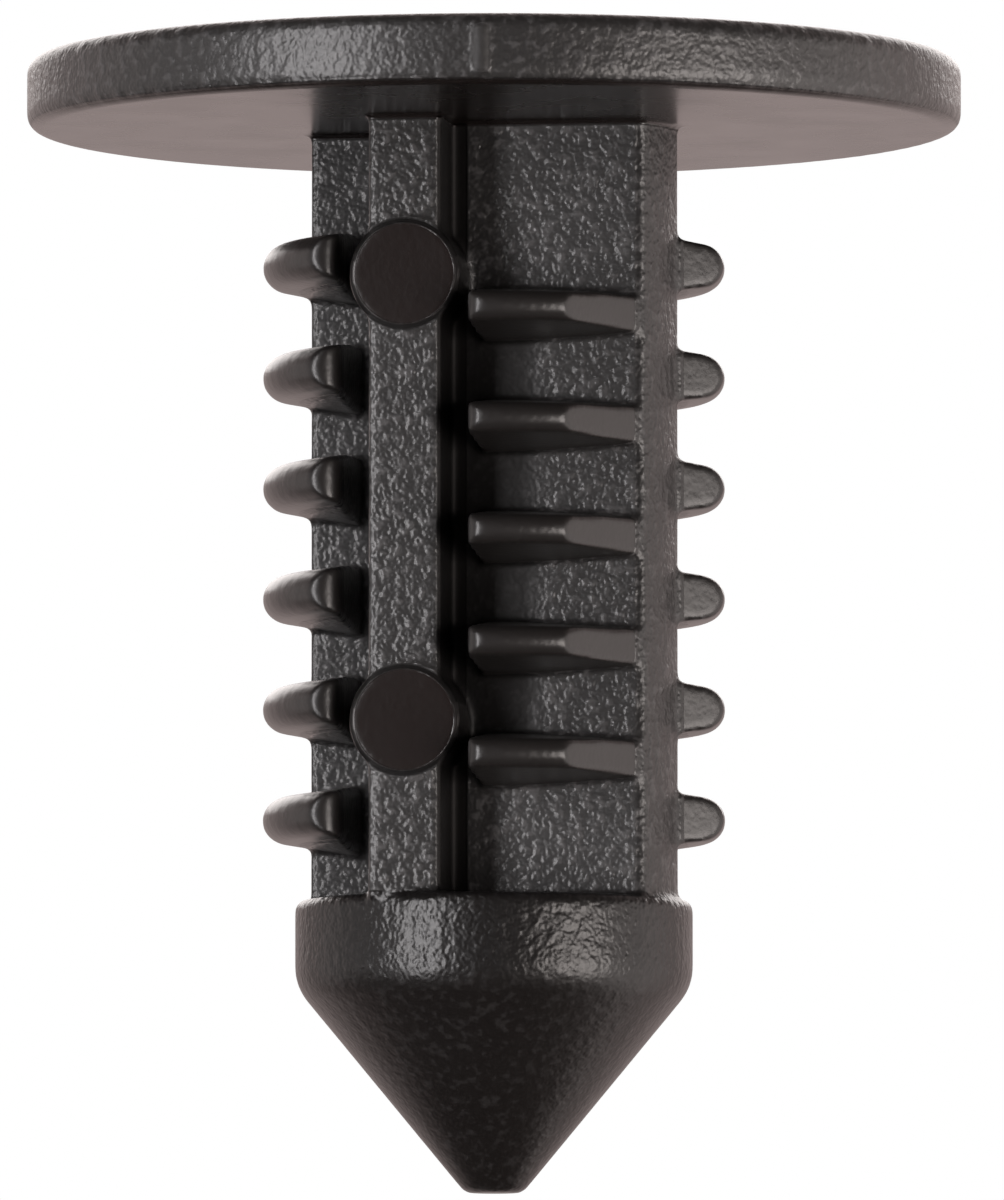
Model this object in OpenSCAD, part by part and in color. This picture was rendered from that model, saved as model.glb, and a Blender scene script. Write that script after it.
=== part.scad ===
// Push-in fir-tree clip: flat round head, four-sided finned stem, collar and pointed nose.
// One nylon moulding. The head's underside is the plane z = 0 and the stem points down.
// The front of the clip faces -Y. The stem is the same again after half a turn about Z.

/* [Head] */
// Diameter of the round head
head_d = 18; // [14:0.5:24]
// Thickness of the head
head_t = 1.35; // [1:0.05:2.5]
// Rounding of the head's two rim edges
head_edge_r = 0.28; // [0.1:0.02:0.45]
// Width of the upright gate mark on the front of the rim
gate_w = 0.2; // [0.1:0.02:0.6]
// How far the gate mark stands out of the rim
gate_proud = 0.07; // [0.02:0.01:0.15]
// Height of the gate mark
gate_h = 0.9; // [0.4:0.05:1]
// Place of the gate mark on the rim, in degrees to the right of the middle
gate_angle = 5.5; // [0:0.5:30]

/* [Stem] */
// Diameter of the round core of the stem
stem_d = 7.28; // [6.9:0.02:7.4]
// Length of the stem from the head to the collar
stem_len = 14.85; // [14:0.05:22]
// Distance from the axis to the near side of the front rib
rib_offset = 0.6; // [0.5:0.05:0.8]
// Width of the front rib
rib_w = 1.4; // [1.1:0.05:1.6]
// Distance from the axis to the flat face of the rib
rib_level = 3.4; // [3.2:0.02:3.5]
// Distance from the axis to the flat that carries the wide fins
flat_level = 1.9; // [1.8:0.05:2.4]
// Distance behind the axis of the shelf that carries the short fins
shelf_level = 0.4; // [0.3:0.05:0.8]

/* [Fins] */
// Diameter over the fin tips
fin_d = 8.9; // [8.2:0.1:10]
// Number of short fins on each side
fin_rows = 6; // [4:1:6]
// Depth of the first short fin below the head
first_fin = 2.67; // [1.8:0.01:3.4]
// Distance from one short fin to the next
fin_pitch = 2.13; // [1.7:0.01:2.2]
// Radius of the rounded edge of a short fin
short_nose_r = 0.43; // [0.25:0.01:0.5]
// Radius of the rounded edge of a wide fin
wide_nose_r = 0.29; // [0.2:0.01:0.45]
// Slope of the flanks of a short fin, in degrees
short_fin_draft = 8.5; // [1:0.5:11]
// Slope of the flanks of a wide fin, in degrees
wide_fin_draft = 5.5; // [1:0.5:10]
// Gap between the end of a fin and the rib, which lets the fin bend
fin_gap = 0.6; // [0.4:0.02:0.75]
// Rounding of the end of a fin, seen from above
fin_end_r = 0.4; // [0.2:0.02:0.5]
// Distance right of the axis at which a wide fin starts to slope down
ramp_start = 1.85; // [1.4:0.05:2.3]
// Width of the bare flat beyond the foot of that slope
ramp_land = 0.06; // [0.05:0.01:0.3]
// Distance behind the axis at which a short fin starts to slope down
back_start = 0.05; // [0.05:0.05:0.4]
// Distance from the shelf to the foot of that slope
back_land = 0.25; // [0.2:0.05:0.5]

/* [Ejector pads] */
// Diameter of the round pads on the front rib
pad_d = 2.14; // [1.6:0.02:2.2]
// How far the flat face of a pad stands out of the rib
pad_proud = 0.06; // [0.04:0.02:0.3]
// Depth of the upper pad below the head
first_pad = 3.05; // [2:0.05:4]
// Number of fin steps from the upper pad to the lower one
pad_steps = 4; // [2:1:5]

/* [Collar and nose] */
// Diameter of the collar that guides the clip in its hole
collar_d = 7.64; // [7.6:0.02:7.9]
// Height of the collar down to the corner of the nose
collar_h = 1.65; // [1.2:0.05:4]
// Rounding of the upper edge of the collar
shoulder_r = 0.2; // [0.1:0.02:0.4]
// Rounding between the collar and the nose
nose_blend_r = 1; // [0.4:0.05:1.2]
// Angle between the axis and the side of the nose, in degrees
nose_angle = 39.5; // [30:0.5:50]
// Diameter of the blunt tip
tip_d = 1.1; // [0.9:0.05:2]
// Rounding of the edge of the tip
tip_r = 0.24; // [0.1:0.02:0.4]

/* [Hidden] */
$fn = 96;
nylon = "#2b2826";
overlap = 0.4;
arc_steps = 6;
rib_far = rib_offset + rib_w;
pad_level = rib_level + pad_proud;
fin_r = fin_d / 2;
short_end = rib_far + fin_gap;
short_root = shelf_level + back_land / 2;
back_foot = [-sqrt(pow(stem_d / 2, 2) - pow(shelf_level + back_land, 2)), shelf_level + back_land];
back_top = [-sqrt(pow(fin_r, 2) - pow(back_start, 2)), back_start];
wide_end = rib_offset - fin_gap;
ramp_end = sqrt(pow(stem_d / 2, 2) - pow(flat_level, 2)) - ramp_land;
ramp_top = sqrt(pow(fin_r, 2) - pow(ramp_start, 2));
// The end rounding reaches a little past the tip circle, so that the two cross cleanly.
end_reach = fin_r - 0.92 * fin_end_r;
collar_low = stem_len + collar_h;
nose_len = (collar_d - tip_d) / 2 / tan(nose_angle);
tip_low = collar_low + nose_len;
far = 2 * fin_d;

// Everything on the stem comes twice, half a turn apart.
module half_turn() {
    children();
    rotate(180)
        children();
}

// Solid between two depths below the head, from a plan outline.
module between(top, bottom) {
    translate([0, 0, -bottom])
        linear_extrude(bottom - top)
            children();
}

module head() {
    flat_r = head_d / 2 - head_edge_r;
    rotate_extrude() {
        square([flat_r, head_t]);
        translate([0, head_edge_r])
            square([head_d / 2, head_t - 2 * head_edge_r]);
        for (level = [head_edge_r, head_t - head_edge_r])
            translate([flat_r, level])
                circle(head_edge_r);
    }
}

// Thin upright line on the front of the rim where the plastic came in.
module gate_mark() {
    rotate(gate_angle)
        translate([-gate_w / 2, -head_d / 2 - gate_proud, (head_t - gate_h) / 2])
            cube([gate_w, overlap + gate_proud, gate_h]);
}

// Pinwheel section: a core, flat ribs front and back, and a shelf on each side.
module stem_section() {
    difference() {
        union() {
            circle(d = stem_d);
            half_turn()
                translate([-rib_far - overlap / 2, -rib_level - overlap])
                    square([rib_w + overlap, rib_level + overlap]);
        }
        half_turn() {
            translate([-rib_offset, -far])
                square([2 * far, far - flat_level]);
            translate([-rib_far - overlap, -far / 2])
                square([rib_w + 2 * overlap, far / 2 - rib_level]);
            translate([-rib_far - far, -far])
                square([far, far + shelf_level]);
        }
    }
}

module stem() {
    between(-overlap, stem_len + shoulder_r / 2)
        stem_section();
}

// Round disc with a bull nose and sloping flanks, from which every fin is cut.
module fin_disc(nose_r, draft) {
    nose_x = fin_r - nose_r;
    flank_x = nose_x + nose_r * sin(draft);
    flank_y = nose_r * cos(draft);
    root_y = flank_y + flank_x * tan(draft);
    rotate_extrude() {
        translate([nose_x, 0])
            circle(nose_r);
        polygon([[0, -root_y], [flank_x, -flank_y], [flank_x, flank_y], [0, root_y]]);
    }
}

// Outline of the short fin on the left shelf, which ends round in front and slopes down behind.
module short_fin_outline() {
    end_x = -short_end - fin_end_r;
    end_y = -sqrt(pow(end_reach, 2) - pow(end_x, 2));
    polygon([
        [end_x, back_slope(end_x)],
        [end_x, end_y],
        2 * [end_x, end_y],
        [2 * end_x, back_slope(2 * end_x)]
    ]);
    translate([end_x, end_y])
        circle(fin_end_r);
    translate([end_x, end_y])
        square([fin_end_r, short_root - end_y]);
}

// Level of the slope behind a short fin, at a given place across the clip.
function back_slope(x) =
    back_foot.y + (x - back_foot.x) * (back_top.y - back_foot.y) / (back_top.x - back_foot.x);

// Outline of the wide fin that stands on the front flat and slopes down to its right end.
module wide_fin_outline() {
    end_x = -wide_end + fin_end_r;
    end_y = -sqrt(pow(end_reach, 2) - pow(end_x, 2));
    ramp_low = [ramp_end, -flat_level];
    ramp_high = [ramp_start, -ramp_top];
    polygon([
        [end_x, overlap - flat_level],
        [end_x, end_y],
        2 * [end_x, end_y],
        2 * ramp_high - ramp_low,
        ramp_low,
        [ramp_end - overlap, overlap - flat_level]
    ]);
    translate([end_x, end_y])
        circle(fin_end_r);
    translate([-wide_end, end_y])
        square([fin_end_r, overlap - flat_level - end_y]);
}

// A row of fins of one outline, from a first depth down.
module fin_row(first, count, nose_r, draft) {
    intersection() {
        for (row = [0 : count - 1])
            translate([0, 0, -first - row * fin_pitch])
                fin_disc(nose_r, draft);
        between(0, stem_len)
            children();
    }
}

// The wide fins sit half a step below the short ones, so there is one fewer.
module fins() {
    half_turn() {
        fin_row(first_fin, fin_rows, short_nose_r, short_fin_draft)
            short_fin_outline();
        fin_row(first_fin + fin_pitch / 2, fin_rows - 1, wide_nose_r, wide_fin_draft)
            wide_fin_outline();
    }
}

// Flat round pads on the front rib, against which the pins of the mould push the clip out.
module pads() {
    pad_root = shelf_level + overlap;
    for (step = [0, pad_steps])
        translate([-rib_offset - rib_w / 2, pad_root, -first_pad - step * fin_pitch])
            rotate([90, 0, 0])
                cylinder(d = pad_d, h = pad_root + pad_level);
}

// Points of an arc about a centre, between two angles in degrees.
function arc(centre, r, from, to) =
    [for (i = [0 : arc_steps]) centre + r * [cos(angle_at(i, from, to)), sin(angle_at(i, from, to))]];
function angle_at(i, from, to) = from + (to - from) * i / arc_steps;

// Collar, conical nose and blunt tip, turned from one profile with rounded corners.
module nose() {
    collar_r = collar_d / 2;
    blend_back = nose_blend_r * tan(nose_angle / 2);
    tip_back = tip_r * tan(45 - nose_angle / 2);
    shoulder = [collar_r - shoulder_r, -stem_len - shoulder_r];
    blend = [collar_r - nose_blend_r, blend_back - collar_low];
    tip = [tip_d / 2 - tip_back, tip_r - tip_low];
    rotate_extrude()
        polygon(concat(
            [[0, -stem_len]],
            arc(shoulder, shoulder_r, 90, 0),
            arc(blend, nose_blend_r, 0, -nose_angle),
            arc(tip, tip_r, -nose_angle, -90),
            [[0, -tip_low]]
        ));
}

module clip() {
    color(nylon) {
        head();
        gate_mark();
        stem();
        pads();
        fins();
        nose();
    }
}

clip();
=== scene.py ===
import math
import bpy
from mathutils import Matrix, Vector


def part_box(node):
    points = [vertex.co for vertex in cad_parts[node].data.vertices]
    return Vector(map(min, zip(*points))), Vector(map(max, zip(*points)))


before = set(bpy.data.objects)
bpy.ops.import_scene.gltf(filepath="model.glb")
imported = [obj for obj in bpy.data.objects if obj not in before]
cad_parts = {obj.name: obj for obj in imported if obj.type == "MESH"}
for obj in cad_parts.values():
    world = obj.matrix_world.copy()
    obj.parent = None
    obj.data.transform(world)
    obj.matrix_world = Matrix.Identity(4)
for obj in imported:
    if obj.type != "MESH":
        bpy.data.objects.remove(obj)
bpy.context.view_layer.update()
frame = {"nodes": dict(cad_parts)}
scene = bpy.context.scene
mm = 0.001  # the frame is in metres
plainWhite = (1.0, 1.0, 1.0, 1.0)
print("frame loaded:", ", ".join(frame["nodes"]))


# a socket that takes part in plain expressions, each of which adds a Math node
class Wire:
    def __init__(self, shader, socket):
        self.shader = shader
        self.socket = socket

    def math(self, operation, first, second=0.0):
        settings = {"operation": operation}
        return self.shader.node("ShaderNodeMath", settings, {0: first, 1: second})

    def __add__(self, other):
        return self.math("ADD", self, other)

    def __radd__(self, other):
        return self.math("ADD", other, self)

    def __sub__(self, other):
        return self.math("SUBTRACT", self, other)

    def __rsub__(self, other):
        return self.math("SUBTRACT", other, self)

    def __mul__(self, other):
        return self.math("MULTIPLY", self, other)

    def __rmul__(self, other):
        return self.math("MULTIPLY", other, self)

    def __pow__(self, other):
        return self.math("POWER", self, other)

    def __abs__(self):
        return self.math("ABSOLUTE", self)

    def sign(self):
        return self.math("SIGN", self)

    def largest(self, other):
        return self.math("MAXIMUM", self, other)

    def smallest(self, other):
        return self.math("MINIMUM", self, other)

    # 0 before the start and 1 past the end, whichever of the two is larger
    def rise(self, start, end):
        sockets = {"Value": self, "From Min": start, "From Max": end}
        return self.shader.node("ShaderNodeMapRange", {"interpolation_type": "SMOOTHSTEP"}, sockets)


# a node tree with one way to add any node: type, settings, then sockets
class Shader:
    def __init__(self, owner):
        owner.use_nodes = True
        self.tree = owner.node_tree
        self.tree.nodes.clear()

    def node(self, kind, settings=None, sockets=None, out=0):
        made = self.tree.nodes.new(kind)
        for name, value in (settings or {}).items():
            setattr(made, name, value)
        for name, value in (sockets or {}).items():
            if isinstance(value, Wire):
                self.tree.links.new(value.socket, made.inputs[name])
            else:
                made.inputs[name].default_value = value
        if not made.outputs:
            return None
        return Wire(self, made.outputs[out])

    def mix(self, kind, factor, first, second):
        sockets = {"Factor": factor, "A": first, "B": second}
        return self.node("ShaderNodeMix", {"data_type": kind}, sockets, out="Result")


nylon = {
    "grain": {"Scale": 6.0, "Detail": 1.0, "Roughness": 0.55},  # noises, at a scale per mm
    "fine": {"Scale": 14.0, "Detail": 0.0},
    "cloud": {"Scale": 0.5, "Detail": 3.0},  # slow change of gloss over the moulding
    "noiseMiddle": 0.5,
    "fineShare": 0.25,
    "cloudRough": 0.08,
    "fleckColour": (0.0420, 0.0400, 0.0405, 1.0),  # tops of the grain
    "fleckStart": 0.50,
    "fleckEnd": 0.72,
    "index": 1.53,
    "coatRough": 0.55,  # wide sheen of the grain's slopes
    "cornerDull": 0.8,  # painted shade: how much gloss the deep corners, slots and pad edges lose
}

finishes = {  # spark-eroded steel makes the stem matt, polished steel the fins, pads and seat smooth
    "stem": {"tone": (0.0095, 0.0087, 0.0087, 1.0),
             "rough": 0.35, "bumpMm": 0.054, "fleck": 1.0, "coat": 0.95},
    "flank": {"tone": (0.0095, 0.0087, 0.0085, 1.0),
              "rough": 0.38, "bumpMm": 0.040, "fleck": 0.8, "coat": 0.25},
    "rib": {"tone": (0.0095, 0.0087, 0.0085, 1.0),
            "rough": 0.35, "bumpMm": 0.054, "fleck": 1.0, "coat": 0.58},
    # painted shade: the rib's side wall, the slots between the wide fins beside it and the pads' edges
    # are darker and duller than the stem, standing in for their shadow
    "corner": {"tone": (0.0080, 0.0072, 0.0070, 1.0),
               "rough": 0.55, "bumpMm": 0.004, "fleck": 0.0, "coat": 0.0},
    "rim": {"tone": (0.0110, 0.0100, 0.0096, 1.0),
            "rough": 0.36, "bumpMm": 0.028, "fleck": 0.8, "coat": 0.5},
    "gate": {"tone": (0.0120, 0.0108, 0.0102, 1.0),
             "rough": 0.60, "bumpMm": 0.010, "fleck": 0.3, "coat": 0.0},
    "seat": {"tone": (0.0075, 0.0055, 0.0050, 1.0),
             "rough": 0.27, "bumpMm": 0.003, "fleck": 0.0, "coat": 0.0},
    "fins": {"tone": (0.0110, 0.0095, 0.0090, 1.0),
             "rough": 0.34, "bumpMm": 0.006, "fleck": 0.0, "coat": 0.15},
    "pads": {"tone": (0.0120, 0.0088, 0.0082, 1.0),
             "rough": 0.25, "bumpMm": 0.006, "fleck": 0.0, "coat": 0.0},
    "collar": {"tone": (0.0060, 0.0052, 0.0050, 1.0),
               "rough": 0.34, "bumpMm": 0.030, "fleck": 0.1, "coat": 0.0},
    "nose": {"tone": (0.0058, 0.0046, 0.0042, 1.0),
             "rough": 0.35, "bumpMm": 0.014, "fleck": 0.2, "coat": 0.0},
}

places = {  # mm, in the clip's own frame
    "soft": 0.06,  # width of the change from one finish to the next
    "rimLow": 0.10,
    "gateStart": 9.005,  # only the gate mark stands out of the rim
    "gateEnd": 9.03,
    "seatDepth": 0.12,
    "finTopZ": -1.2,
    "finLowZ": -14.6,
    "coreRadius": 3.50,
    "stemRadius": 3.72,  # the short fins stand out of this
    "flatLevel": 2.0,  # the wide fins stand out of this
    "finStart": -0.25,  # and start beside the rib here
    "ribFar": -2.2,
    "ribNear": -0.70,
    "wallFoot": 1.75,
    "slotStart": 0.75,  # painted shade: the slots between the wide fins are smooth and shaded as far as this
    "slotEnd": 1.40,
    "slotTopZ": -3.74,
    "slotLowZ": -12.26,
    "slotShadeShare": 0.80,
    "padX": -1.3,
    "padZ": (-3.05, -11.57),
    "padRadius": 1.0,
    "padShadeEdge": 1.10,
    "padFoot": 1.2,
    "padLevel": 3.42,
    "collarTopZ": -14.85,
    "noseTopZ": -16.1,
    "noseLowZ": -16.7,
}


# where each finish lies, in the order in which one covers the other
def placeMasks(shader, inMm, at):
    x, y, z = [shader.node("ShaderNodeSeparateXYZ", None, {0: inMm}, out=axis) for axis in "XYZ"]
    soft = at["soft"]
    front = y * -1
    depth = abs(front)
    side = x * front.sign()  # the back is the front after half a turn
    radius = (x * x + front * front) ** 0.5

    def above(value, level):
        return value.rise(level, level + soft)

    def below(value, level):
        return value.rise(level, level - soft)

    offFlat = above(depth, at["flatLevel"])
    offAxis = above(depth, at["wallFoot"])
    nearRib = above(side, at["ribNear"])
    pastRib = above(side, at["finStart"] - soft)
    onRib = above(side, at["ribFar"] - soft) * (1 - pastRib) * offFlat
    onStem = below(z, 0) * above(z, at["collarTopZ"])
    betweenFins = below(z, at["slotTopZ"]) * above(z, at["slotLowZ"])
    shortFins = above(radius, at["stemRadius"]) * (1 - onRib)
    wideFins = offFlat * pastRib
    finned = below(z, at["finTopZ"]) * above(z, at["finLowZ"])
    # painted shade: the rib's side wall, the slots beside the rib and a ring round each pad's edge, where
    # the shadow and the edge glint are painted in
    ribWallShade = nearRib * (1 - pastRib) * offAxis
    slotShade = side.rise(at["slotEnd"], at["slotStart"]) * nearRib * (1 - offFlat) * offAxis
    slotShade = slotShade * betweenFins * at["slotShadeShare"]
    aside = x - at["padX"]
    upper, lower = [abs(z - level) for level in at["padZ"]]
    nearest = upper.smallest(lower)
    reach = (aside * aside + nearest * nearest) ** 0.5
    pads = below(reach, at["padRadius"]) * above(front, at["padLevel"] - soft)
    padShadeEdge = below(reach, at["padShadeEdge"]) * above(front, at["padFoot"])
    return {
        "flank": above(radius, at["coreRadius"]) * (1 - onRib),
        "rib": onRib,
        "corner": ribWallShade.largest(slotShade).largest(padShadeEdge) * (1 - pads) * onStem,
        "rim": above(z, at["rimLow"]),
        "gate": radius.rise(at["gateStart"], at["gateEnd"]),
        "seat": below(abs(z), at["seatDepth"]),
        "fins": shortFins.largest(wideFins) * finned,
        "pads": pads,
        "collar": below(z, at["collarTopZ"] + soft),
        "nose": z.rise(at["noseTopZ"], at["noseLowZ"]),
    }


def makeNylon():
    material = bpy.data.materials.new("blackNylon")
    shader = Shader(material)
    place = shader.node("ShaderNodeTexCoord", out="Object")
    inMm = shader.node("ShaderNodeVectorMath", {"operation": "SCALE"}, {0: place, "Scale": 1 / mm})
    noises = {}
    for name in ("grain", "fine", "cloud"):
        noises[name] = shader.node("ShaderNodeTexNoise", None, {"Vector": inMm, **nylon[name]})
    now = dict(finishes["stem"])
    masks = placeMasks(shader, inMm, places)
    for name, mask in masks.items():
        look = finishes[name]
        now["tone"] = shader.mix("RGBA", mask, now["tone"], look["tone"])
        for part in ("rough", "bumpMm", "fleck", "coat"):
            now[part] = shader.mix("FLOAT", mask, now[part], look[part])
    height = noises["grain"] + noises["fine"] * nylon["fineShare"]
    normal = shader.node("ShaderNodeBump", None, {"Distance": mm, "Height": height * now["bumpMm"]})
    fleck = noises["grain"].rise(nylon["fleckStart"], nylon["fleckEnd"]) * now["fleck"]
    tone = shader.mix("RGBA", fleck, now["tone"], nylon["fleckColour"])
    rough = now["rough"] + (noises["cloud"] - nylon["noiseMiddle"]) * nylon["cloudRough"]
    paintedShadeMetallic = masks["corner"] * nylon["cornerDull"]  # painted shade: a dark metal mirrors less than plastic does, so these places lose gloss as if shadowed
    surface = shader.node("ShaderNodeBsdfPrincipled", None, {
        "Base Color": tone,
        "Roughness": rough,
        "Normal": normal,
        "Metallic": paintedShadeMetallic,
        "IOR": nylon["index"],
        "Coat Weight": now["coat"],
        "Coat Roughness": nylon["coatRough"],
    })
    shader.node("ShaderNodeOutputMaterial", None, {"Surface": surface})
    return material


clipShape = {
    "voxelMm": 0.06,
    "smoothShare": 0.5,
    "smoothing": 12,  # rounds every edge and root to about 0.15 mm
    "keep": 0.22,  # share of the faces that stays
}


def softenClip(clip, shape):
    remesh = clip.modifiers.new("evenMesh", "REMESH")
    remesh.mode = "VOXEL"
    remesh.voxel_size = shape["voxelMm"] * mm
    remesh.use_smooth_shade = True
    smooth = clip.modifiers.new("mouldedEdges", "SMOOTH")
    smooth.factor = shape["smoothShare"]
    smooth.iterations = shape["smoothing"]
    fewer = clip.modifiers.new("fewerFaces", "DECIMATE")
    fewer.ratio = shape["keep"]


clip = frame["nodes"]["clip"]
softenClip(clip, clipShape)
clip.data.materials.clear()
clip.data.materials.append(makeNylon())
print("clip dressed in black nylon")

shot = {
    "azimuth": 7,  # the lens stands a little to the right of the clip's front
    "distance": 300 * mm,
    "height": -30.2 * mm,  # the lens is a little below the tip and looks up under the head
    "aside": 0.154 * mm,
    "aimHeight": -9.06 * mm,
    "frameHeight": 23.08 * mm,  # what the picture's height covers at the stem's axis
    "sensorMm": 36.0,
    "nearest": 1 * mm,
    "farthest": 20.0,
}


def heading(azimuth, elevation=0):
    side = math.radians(azimuth)
    rise = math.radians(elevation)
    return Vector((math.sin(side) * math.cos(rise), -math.cos(side) * math.cos(rise), math.sin(rise)))


def shotAim():
    aim = heading(shot["azimuth"] + 90) * shot["aside"]
    aim.z = shot["aimHeight"]
    return aim


def makeCamera():
    lens = bpy.data.cameras.new("camera")
    eye = bpy.data.objects.new("camera", lens)
    scene.collection.objects.link(eye)
    aim = shotAim()
    eye.location = aim + heading(shot["azimuth"]) * shot["distance"]
    eye.location.z = shot["height"]
    look = aim - eye.location
    eye.rotation_euler = look.to_track_quat("-Z", "Y").to_euler()
    lens.sensor_fit = "VERTICAL"
    lens.sensor_height = shot["sensorMm"]
    lens.lens = shot["sensorMm"] * look.length / shot["frameHeight"]
    lens.clip_start = shot["nearest"]
    lens.clip_end = shot["farthest"]
    scene.camera = eye


makeCamera()
print("camera in place")

lamps = {  # azimuth from the camera's side, elevation, width, height, distance, power, colour
    "leftBox": (-44, 0, 80 * mm, 360 * mm, 320 * mm, 1.0, (1.0, 0.97, 0.98)),
    "rightBox": (50, -13, 190 * mm, 190 * mm, 320 * mm, 0.82, (1.0, 0.92, 0.88)),
    "leftCard": (-100, 0, 300 * mm, 300 * mm, 340 * mm, 0.15, (1.0, 0.93, 0.91)),
    "rightCard": (94, -14, 300 * mm, 440 * mm, 340 * mm, 0.40, (1.0, 0.92, 0.89)),
    "backLeftBox": (-160, 24, 200 * mm, 200 * mm, 380 * mm, 0.35, (1.0, 0.97, 0.95)),
    "backRightBox": (160, 24, 200 * mm, 200 * mm, 380 * mm, 0.35, (1.0, 0.97, 0.95)),
}


def makeLamp(name, azimuth, elevation, width, height, distance, power, colour):
    data = bpy.data.lights.new(name, "AREA")
    data.shape = "RECTANGLE"
    data.size = width
    data.size_y = height
    data.energy = power
    data.color = colour
    lamp = bpy.data.objects.new(name, data)
    scene.collection.objects.link(lamp)
    way = heading(shot["azimuth"] + azimuth, elevation)
    lamp.location = shotAim() + way * distance
    lamp.rotation_euler = (-way).to_track_quat("-Z", "Y").to_euler()


for name, values in lamps.items():
    makeLamp(name, *values)
print("lamps in place")

room = {
    "ambient": 0.20,
    "frontGloss": 0.03,  # the dark side of the studio, behind the lens
    "sweepLevel": 0.70,  # the pale sweep as it shows in gloss
    "sweepStart": -0.15,  # the sweep fills the other side, from here round
    "sweepEnd": 0.98,
    "sweepLow": -0.92,  # and stops short of straight down
    "sweepFoot": -0.60,
    "sweepColour": (1.0, 0.82, 0.79, 1.0),
}


def makeWorld():
    world = bpy.data.worlds.new("white")
    scene.world = world
    shader = Shader(world)
    seen = shader.node("ShaderNodeLightPath", out="Is Camera Ray")
    mirrored = shader.node("ShaderNodeLightPath", out="Is Glossy Ray")
    through = shader.node("ShaderNodeLightPath", out="Is Transmission Ray")
    way = shader.node("ShaderNodeTexCoord", out="Generated")
    away = shader.node("ShaderNodeSeparateXYZ", None, {0: way}, out="Y")
    up = shader.node("ShaderNodeSeparateXYZ", None, {0: way}, out="Z")
    sweep = away.rise(room["sweepStart"], room["sweepEnd"]) * up.rise(room["sweepLow"], room["sweepFoot"])
    gloss = mirrored * (sweep * (room["sweepLevel"] - room["frontGloss"]) + room["frontGloss"])
    white = seen.largest(through).largest(gloss)
    level = white.largest((1 - mirrored) * room["ambient"])
    tint = shader.mix("RGBA", mirrored, plainWhite, room["sweepColour"])
    back = shader.node("ShaderNodeBackground", None, {"Color": tint, "Strength": level})
    shader.node("ShaderNodeOutputWorld", None, {"Surface": back})


makeWorld()

paper = {
    "drop": 170 * mm,  # clear space under the tip, with room for the lamps
    "size": 5.0,
    "colour": (0.82, 0.81, 0.80, 1.0),
    "whiteShare": 0.75,  # plain white that the lens sees on the floor, beside the lit paper
}


def makePaper():
    material = bpy.data.materials.new("paper")
    shader = Shader(material)
    lit = shader.node("ShaderNodeBsdfDiffuse", None, {"Color": paper["colour"]})
    plain = shader.node("ShaderNodeEmission", None, {"Color": plainWhite})
    seen = shader.node("ShaderNodeLightPath", out="Is Camera Ray")
    surface = shader.node("ShaderNodeMixShader", None, {0: seen * paper["whiteShare"], 1: lit, 2: plain})
    shader.node("ShaderNodeOutputMaterial", None, {"Surface": surface})
    return material


def makeFloor():
    bpy.ops.mesh.primitive_plane_add(size=paper["size"])
    floor = bpy.context.object
    floor.name = "floor"
    floor.location.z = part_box("clip")[0].z - paper["drop"]
    floor.data.materials.append(makePaper())
    floor.visible_glossy = False  # the dark side of the studio shows in the nose instead


makeFloor()
scene.view_settings.view_transform = "Standard"
print("world and floor in place")

bpy.context.view_layer.update()
